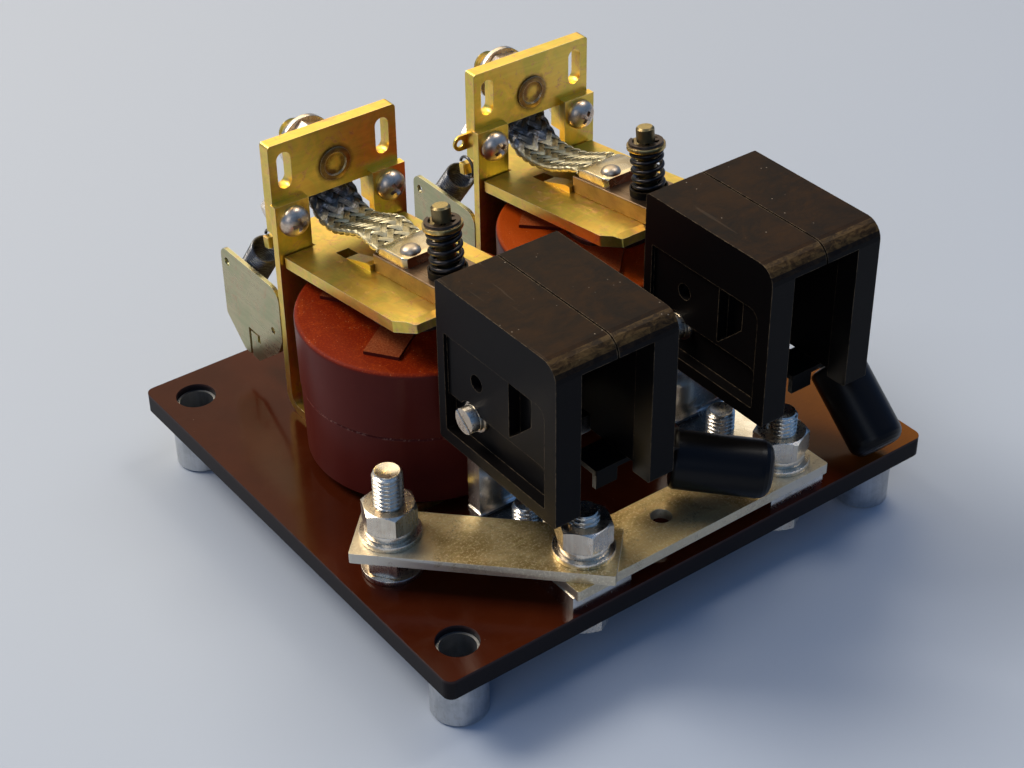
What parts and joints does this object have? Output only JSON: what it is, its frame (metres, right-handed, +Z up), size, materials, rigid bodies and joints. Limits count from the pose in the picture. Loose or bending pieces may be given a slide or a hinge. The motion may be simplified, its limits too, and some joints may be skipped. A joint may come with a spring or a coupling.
{
  "type": "dc contactor",
  "caption": "Open clapper contactors with moulded arc chutes, link bars and screw terminals on one insulating board.",
  "frame": {"origin": "centre of the four spacer feet, at the mounting surface", "axes": "+X along the board's front edge, +Y to the rear terminals, +Z up from the mounting surface"},
  "size_m": [0.16, 0.1564, 0.1042],
  "materials": {
    "phenolic_board": "glossy red-brown laminate, darker at its sawn edges",
    "aluminium": "turned, satin",
    "bright_zinc": "bright zinc plating, slightly dull",
    "tinned_copper": "dull tin plating with a tan cast",
    "nickel": "polished nickel plating",
    "yellow_zinc": "yellow chromate zinc plating with a faint green and pink sheen",
    "potting_resin": "glossy red-brown potting, orange-red and pitted on top",
    "plain_steel": "ground steel",
    "silver_tip": "silver alloy, lightly burnt",
    "black_phenolic": "black moulding, worn brown on top",
    "black_steel": "black oxide",
    "brass": "dull brass",
    "tinned_braid": "tinned copper braid",
    "bare_copper": "copper, partly tinned",
    "gloss_black": "smooth glossy black"
  },
  "bodies": {
    "base": {"base_board": "phenolic_board", "spacer_feet": "aluminium", "terminal_bolts": "bright_zinc", "terminal_nuts": "bright_zinc", "flat_washers": "bright_zinc", "spring_washers": "bright_zinc", "link_bar_supply": "tinned_copper", "link_bar_front": "tinned_copper", "contact_screws": "bright_zinc", "yoke_screws": "bright_zinc", "plate_screws": "nickel", "plate_nuts": "bright_zinc", "rear_studs": "yellow_zinc", "rear_nuts": "bright_zinc", "chute_screws": "bright_zinc", "solder_tag": "yellow_zinc", "yoke_a": "yellow_zinc", "coil_a": "potting_resin", "core_a": "plain_steel", "spring_bracket_a": "yellow_zinc", "terminal_plate_a": "yellow_zinc", "fixed_contact_a": "tinned_copper", "fixed_tip_a": "silver_tip", "chute_left_a": "black_phenolic", "chute_right_a": "black_phenolic", "grip_bracket_a": "black_steel", "braid_a": "tinned_braid", "return_spring_a": "black_steel", "yoke_b": "yellow_zinc", "coil_b": "potting_resin", "core_b": "plain_steel", "spring_bracket_b": "yellow_zinc", "terminal_plate_b": "yellow_zinc", "fixed_contact_b": "tinned_copper", "fixed_tip_b": "silver_tip", "chute_left_b": "black_phenolic", "chute_right_b": "black_phenolic", "grip_bracket_b": "black_steel", "braid_b": "tinned_braid", "return_spring_b": "black_steel"},
    "armature_a": {"armature_a": "yellow_zinc", "spring_post_a": "brass", "post_clip_a": "brass", "contact_spring_a": "black_steel"},
    "arm_a": {"contact_arm_a": "tinned_copper", "moving_tip_a": "silver_tip", "spring_cup_a": "black_steel", "braid_lug_a": "bare_copper"},
    "grip_a": {"grip_a": "gloss_black"},
    "armature_b": {"armature_b": "yellow_zinc", "spring_post_b": "brass", "post_clip_b": "brass", "contact_spring_b": "black_steel"},
    "arm_b": {"contact_arm_b": "tinned_copper", "moving_tip_b": "silver_tip", "spring_cup_b": "black_steel", "braid_lug_b": "bare_copper"},
    "grip_b": {"grip_b": "gloss_black"}
  },
  "joints": [
    {"name": "armature_a_swing", "type": "hinge", "parent": "base", "child": "armature_a", "pos_m": [-0.0303, 0.04275, 0.0684], "axis": [1, 0, 0], "range_deg": [0, 7.5], "stiffness_Nm_per_rad": 0.3, "springref_deg": -22.92, "deforming": ["return_spring_a", "braid_a"]},
    {"name": "arm_a_lift", "type": "hinge", "parent": "armature_a", "child": "arm_a", "pos_m": [-0.0303, 0.0157, 0.07569], "axis": [1, 0, 0], "range_deg": [-1.6, 0], "deforming": ["contact_spring_a"]},
    {"name": "grip_a_swing", "type": "hinge", "parent": "base", "child": "grip_a", "pos_m": [-0.0034, -0.0566, 0.0454], "axis": [0, 0, 1], "range_deg": [-65, 2]},
    {"name": "armature_b_swing", "type": "hinge", "parent": "base", "child": "armature_b", "pos_m": [0.0357, 0.04275, 0.0684], "axis": [1, 0, 0], "range_deg": [0, 7.5], "stiffness_Nm_per_rad": 0.3, "springref_deg": -22.92, "deforming": ["return_spring_b", "braid_b"]},
    {"name": "arm_b_lift", "type": "hinge", "parent": "armature_b", "child": "arm_b", "pos_m": [0.0357, 0.0157, 0.07569], "axis": [1, 0, 0], "range_deg": [-1.6, 0], "deforming": ["contact_spring_b"]},
    {"name": "grip_b_swing", "type": "hinge", "parent": "base", "child": "grip_b", "pos_m": [0.0626, -0.0566, 0.0454], "axis": [0, 0, 1], "range_deg": [-24, 66]}
  ],
  "couplings": [
    {"joint": "arm_a_lift", "follows": "armature_a_swing", "ratio": -0.2},
    {"joint": "arm_b_lift", "follows": "armature_b_swing", "ratio": -0.2}
  ]
}
